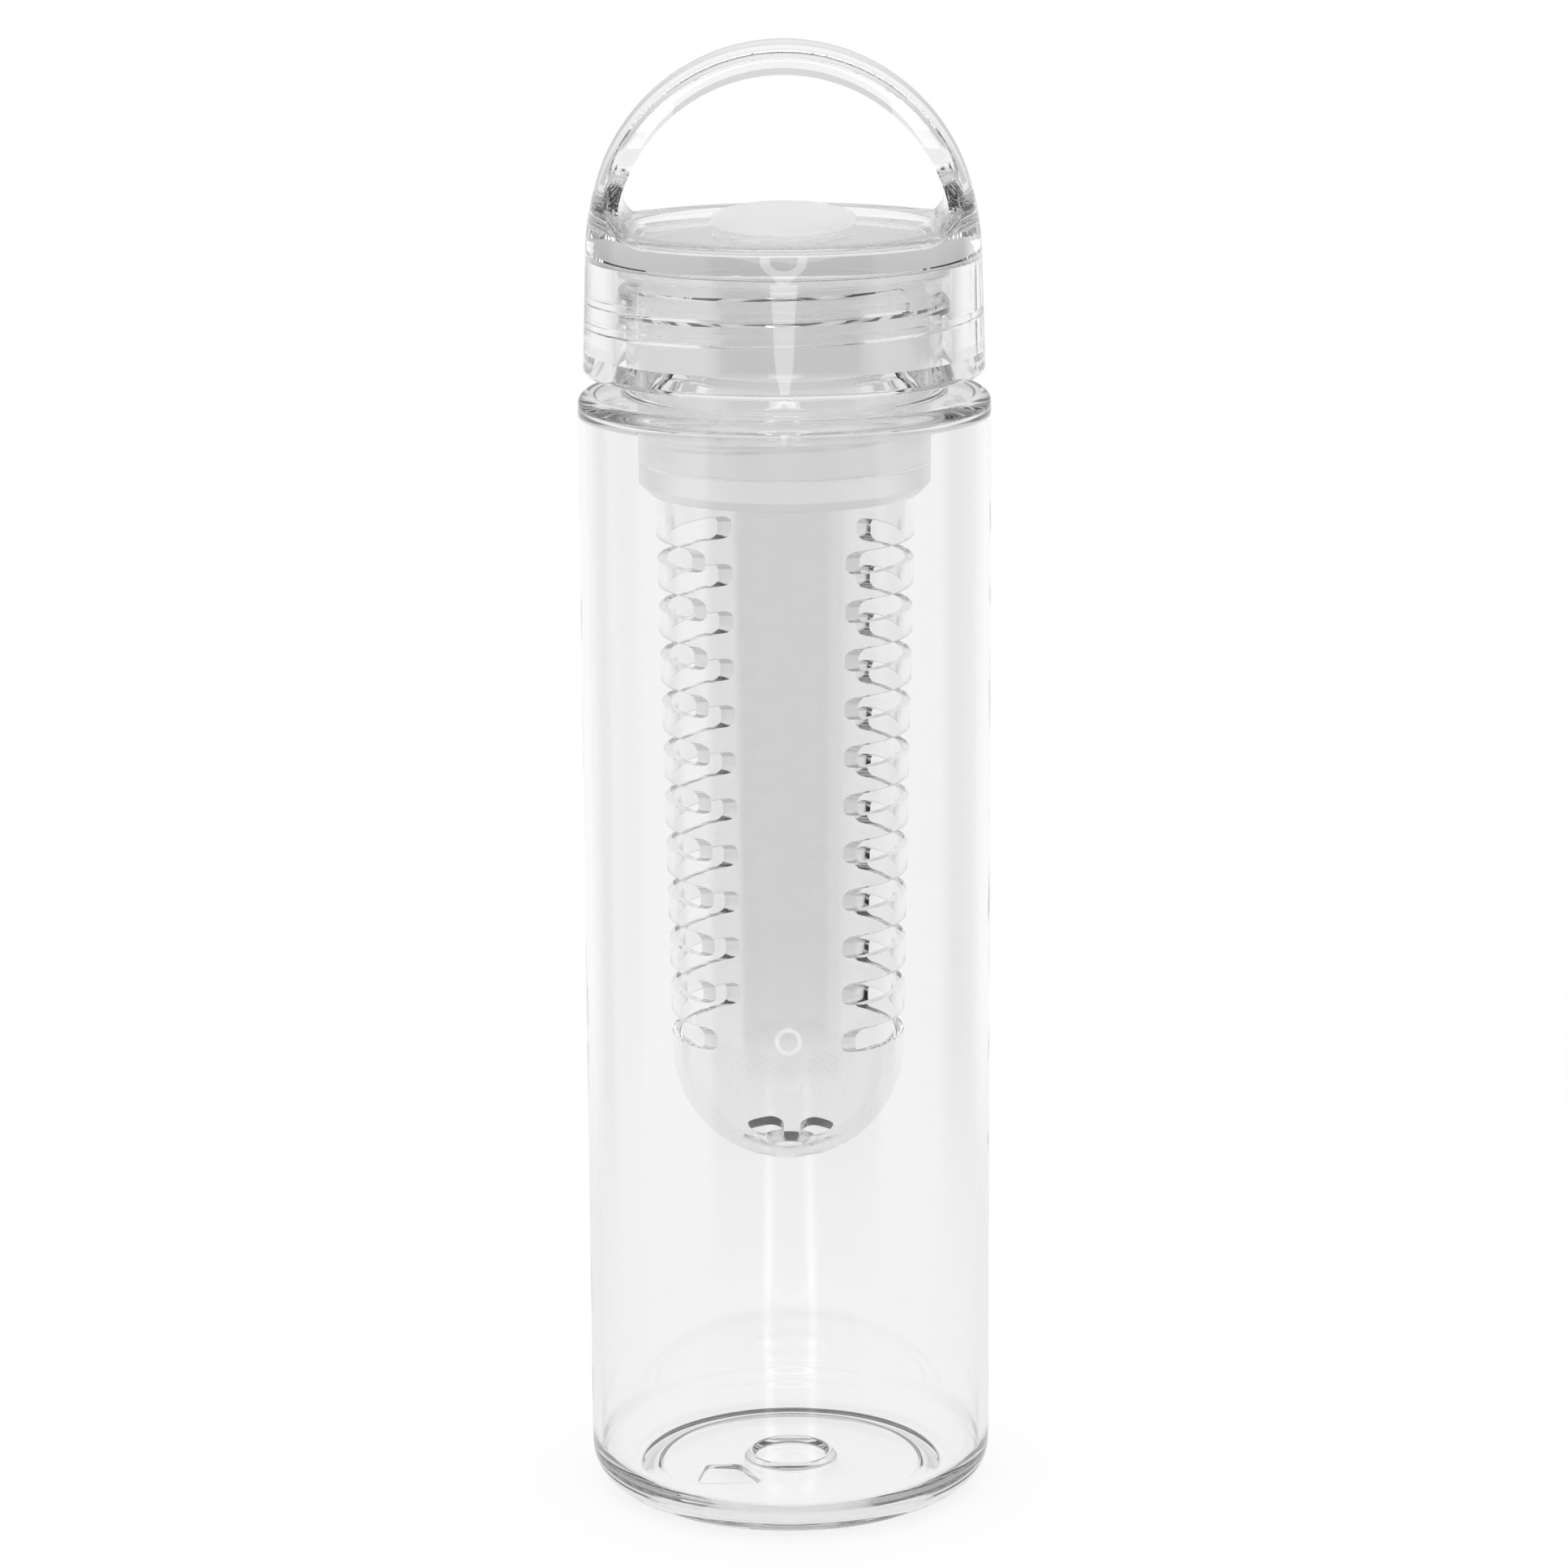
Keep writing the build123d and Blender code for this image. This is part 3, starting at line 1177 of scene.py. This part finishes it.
@dataclass(frozen=True)
class RingLamp:
    """The ring lamp round the lens, which shows in reflections only.

    Args:
        inner: Half the angle that its hole fills, seen from the bottle, in degrees.
        outer: Half the angle that it fills, in degrees.
        rise: Its direction above the level, in degrees.
        away: Its distance from the bottle, in m.
        light: How bright its face is, where 1 is white.
        steps: How many steps its circle has.
    """

    inner: float = 10.5
    outer: float = 15.0
    rise: float = 13.0
    away: float = 1.3
    light: float = 3.0
    steps: int = 96

    def hang(self, aim: Vector) -> None:
        """Hangs the lamp.

        Args:
            aim: The point that it faces.
        """
        rise = math.radians(self.rise)
        back = Vector((0, -math.cos(rise), math.sin(rise)))
        bm = bmesh.new()
        radii = [self.away * math.tan(math.radians(half)) for half in (self.inner, self.outer)]
        ends = [bm.verts.new((radius, 0, 0)) for radius in radii]
        edge = bm.edges.new(ends)
        bmesh.ops.spin(
            bm,
            geom=ends + [edge],
            cent=(0, 0, 0),
            axis=(0, 0, 1),
            angle=FULL_TURN,
            steps=self.steps,
            use_merge=True,
        )
        face = back.to_track_quat("Z", "Y").to_matrix().to_4x4()
        hung = Matrix.Translation(aim + back * self.away) @ face
        bmesh.ops.transform(bm, matrix=hung, verts=bm.verts[:])
        lamp = make_object("ring_lamp", bm)
        material = new_material("lamp_face")
        tree = material.node_tree
        glow = add_node(tree, "ShaderNodeEmission", {"Strength": self.light}, {})
        add_node(tree, "ShaderNodeOutputMaterial", {}, {"Surface": glow.outputs["Emission"]})
        lamp.data.materials.append(material)
        lamp.visible_camera = False
        lamp.visible_diffuse = False
        lamp.visible_shadow = False


@dataclass
class Studio:
    """The white studio: floor, lamps, surroundings and the camera at the photo's angle.

    Args:
        camera_back: How far the camera stands from the axis, in m.
        camera_height: Its height, in m.
        camera_pitch: How far it looks down, in radians.
        camera_roll: How far it is rolled, in radians.
        focal_px: Its focal length, in pixels of the photo.
        frame_px: The photo's width.
        offset_px: How far the middle of its picture lies to the side.
        sensor_mm: Width of its sensor.
        clip: The nearest and the farthest that it sees, in m.
        floor_r: Radius of the floor, in m.
        floor_steps: How many steps its edge has.
        floor_fade: Where it begins and ends to fade into the white, in m from the axis.
        floor_colour: Its paper's colour, as sRGB hex.
        floor_glow: How bright it shines to the camera, where 1 is white.
        floor_sheen: Tint of what mirrors in it, as sRGB hex.
        floor_near: How bright it shines in reflections.
        floor_rough: Roughness of its sheen.
        aim_height: Height that the ring lamp faces, in m.
        sectors: Stops of the surroundings' light round the bottle, as a direction in degrees from the
            camera's side towards the right, and how bright it is there.
        backdrop: How bright the backdrop is low down and above the table's edge, through clear walls.
        backdrop_from: How steeply a direction rises, as its sine, at those two.
        backdrop_side: How far a direction points away from the camera, as its share along Y, where the
            backdrop begins and where it is reached in reflections.
        ceiling: How bright the ceiling is.
        ceiling_from: How steeply a direction rises, as its sine, where the ceiling begins and where it
            is reached.
        lamp: The ring lamp.
    """

    camera_back: float = 0.901
    camera_height: float = 0.3387
    camera_pitch: float = 0.2288
    camera_roll: float = -0.0061
    focal_px: float = 6436.5
    frame_px: float = 1932.0
    offset_px: float = 3.42
    sensor_mm: float = 36.0
    clip: tuple[float, float] = (0.05, 50.0)
    floor_r: float = 0.4
    floor_steps: int = 96
    floor_fade: tuple[float, float] = (0.12, 0.36)
    floor_colour: str = "acacac"
    floor_glow: float = 0.77
    floor_sheen: str = "969696"
    floor_near: float = 0.6
    floor_rough: float = 0.12
    aim_height: float = 0.13
    sectors: tuple[tuple[float, float], ...] = (
        (-180, 0.75),
        (-122, 0.6),
        (-114, 1.0),
        (-47, 1.0),
        (-41, 0.08),
        (50, 0.08),
        (56, 0.85),
        (97, 0.85),
        (103, 0.5),
        (180, 0.75),
    )
    backdrop: tuple[float, float] = (1.0, 0.64)
    backdrop_from: tuple[float, float] = (-0.13, -0.02)
    backdrop_side: tuple[float, float] = (0.5, 0.8)
    ceiling: float = 0.95
    ceiling_from: tuple[float, float] = (0.05, 0.4)
    lamp: RingLamp = RingLamp()

    def place_camera(self) -> None:
        """Puts the camera where the photo was taken from."""
        data = bpy.data.cameras.new("photo_camera")
        data.sensor_fit = "HORIZONTAL"
        data.sensor_width = self.sensor_mm
        data.lens = self.focal_px / self.frame_px * self.sensor_mm
        data.shift_x = -self.offset_px / self.frame_px
        data.clip_start, data.clip_end = self.clip
        camera = bpy.data.objects.new("photo_camera", data)
        bpy.context.scene.collection.objects.link(camera)
        place = Matrix.Translation((0, -self.camera_back, self.camera_height))
        tilt = Matrix.Rotation(math.pi / 2 - self.camera_pitch, 4, "X")
        camera.matrix_world = place @ tilt @ Matrix.Rotation(self.camera_roll, 4, "Z")
        bpy.context.scene.camera = camera

    def lay_floor(self) -> None:
        """Lays the plain pale floor, which shows white and keeps the bottle's shadow."""
        bm = bmesh.new()
        bmesh.ops.create_circle(bm, cap_ends=True, segments=self.floor_steps, radius=self.floor_r)
        floor = make_object("floor", bm)
        material = new_material("white_paper")
        tree = material.node_tree
        place = add_node(tree, "ShaderNodeTexCoord", {}, {})
        away = add_node(
            tree, "ShaderNodeVectorMath", {"operation": "LENGTH"}, {0: place.outputs["Object"]}
        )
        fade = ease(tree, away.outputs["Value"], self.floor_fade, (1.0, 0.0))
        paper = add_node(tree, "ShaderNodeBsdfDiffuse", {"Color": linear(self.floor_colour)}, {})
        seen = add_glow(tree, paper.outputs["BSDF"], self.floor_glow)
        settings = {"Color": linear(self.floor_sheen), "Roughness": self.floor_rough}
        sheen = add_node(tree, "ShaderNodeBsdfGlossy", settings, {})
        gloss = add_glow(tree, sheen.outputs["BSDF"], self.floor_near)
        white = add_node(tree, "ShaderNodeEmission", {"Color": linear(WHITE)}, {})
        behind = mix(tree, unreflected(tree), gloss, white.outputs["Emission"])
        path = add_node(tree, "ShaderNodeLightPath", {}, {})
        lit = mix(tree, path.outputs["Is Camera Ray"], behind, seen)
        clear = add_node(tree, "ShaderNodeBsdfTransparent", {}, {})
        floor_shader = mix(tree, fade, clear.outputs["BSDF"], lit)
        add_node(tree, "ShaderNodeOutputMaterial", {}, {"Surface": floor_shader})
        floor.data.materials.append(material)

    def surround(self) -> None:
        """Sets the surroundings: white where seen straight, and a soft studio in reflections."""
        world = bpy.data.worlds.new("studio")
        bpy.context.scene.world = world
        world.use_nodes = True
        tree = world.node_tree
        tree.nodes.clear()
        way = add_node(tree, "ShaderNodeTexCoord", {}, {})
        parts = add_node(tree, "ShaderNodeSeparateXYZ", {}, {0: way.outputs["Object"]})
        ahead = add_node(
            tree, "ShaderNodeMath", {"operation": "MULTIPLY", 1: -1.0}, {0: parts.outputs["Y"]}
        )
        turn = add_node(
            tree,
            "ShaderNodeMath",
            {"operation": "ARCTAN2"},
            {0: parts.outputs["X"], 1: ahead.outputs["Value"]},
        )
        share = add_node(
            tree,
            "ShaderNodeMapRange",
            {"From Min": -math.pi, "From Max": math.pi},
            {"Value": turn.outputs["Value"]},
        )
        ramp = add_node(tree, "ShaderNodeValToRGB", {}, {"Fac": share.outputs["Result"]})
        stops = ramp.color_ramp.elements
        stops.remove(stops[1])
        stops[0].position = 0.0
        stops[0].color = (*[self.sectors[0][1]] * 3, 1.0)
        for angle, light in self.sectors[1:]:
            stops.new(angle / CIRCLE_DEGREES + 0.5).color = (light, light, light, 1.0)
        rise = parts.outputs["Z"]
        backdrop = ease(tree, rise, self.backdrop_from, self.backdrop)
        walls = ease(tree, parts.outputs["Y"], self.backdrop_side, (ramp.outputs["Color"], backdrop))
        room = ease(tree, rise, self.ceiling_from, (walls, self.ceiling))
        reflected = add_background(tree, {"Strength": room})
        through = mix(tree, unreflected(tree), reflected, add_background(tree, {"Strength": backdrop}))
        path = add_node(tree, "ShaderNodeLightPath", {}, {})
        seen = mix(tree, path.outputs["Is Camera Ray"], through, add_background(tree, {}))
        add_node(tree, "ShaderNodeOutputWorld", {}, {"Surface": seen})

    def build(self) -> None:
        """Sets up the whole studio."""
        self.place_camera()
        self.lay_floor()
        self.surround()
        self.lamp.hang(Vector((0, 0, self.aim_height)))


def main() -> None:
    """Builds the bottle's pieces in order, then the studio."""
    logging.basicConfig(level=logging.INFO, format="%(name)s %(message)s")
    scene = bpy.context.scene
    scene.view_settings.view_transform = "Standard"
    for name, count in BOUNCES.items():
        setattr(scene.cycles, name, count)
    blown = ClearPlastic("blown_clear_copolyester", wave_height=0.02).make()
    moulded = ClearPlastic(
        "moulded_clear_copolyester", depth=3.0, wave_size=14.0, wave_height=0.004
    ).make()
    basket = ClearPlastic(
        "moulded_basket_copolyester", depth=0.0, wave_size=12.0, wave_height=0.004
    ).make()
    # The cut faces' material is tinted darker than the clear basket: painted shade, on top of a real satin
    # roughness.
    cuts = ClearPlastic("satin_painted_shade_basket_copolyester", colour="ececec", depth=0.0, roughness=0.15).make()
    # The frosted pieces and the seal get a painted glow: they emit a little light of their own, though they
    # are no lamps.
    frosted = FrostedPlastic("blasted_frosted_plastic", clearness=0.85, glow=0.09).make()
    tube = FrostedPlastic("blasted_collar_plastic", clearness=0.8, glow=0.12).make()
    silicone = FrostedPlastic("moulded_clear_silicone", ior=1.41, roughness=0.15, clearness=0.9).make()
    soft_ring = FrostedPlastic("moulded_frosted_silicone", ior=1.41, clearness=0.8, glow=0.12).make()
    BottleBody().build(blown)
    Lid().build(moulded)
    LidSeal().build(silicone)
    LidDisc().build(frosted)
    Collar().build(tube)
    BasketRing().build(soft_ring)
    Basket().build(basket, cuts)
    Studio().build()


if __name__ == "__main__":
    main()
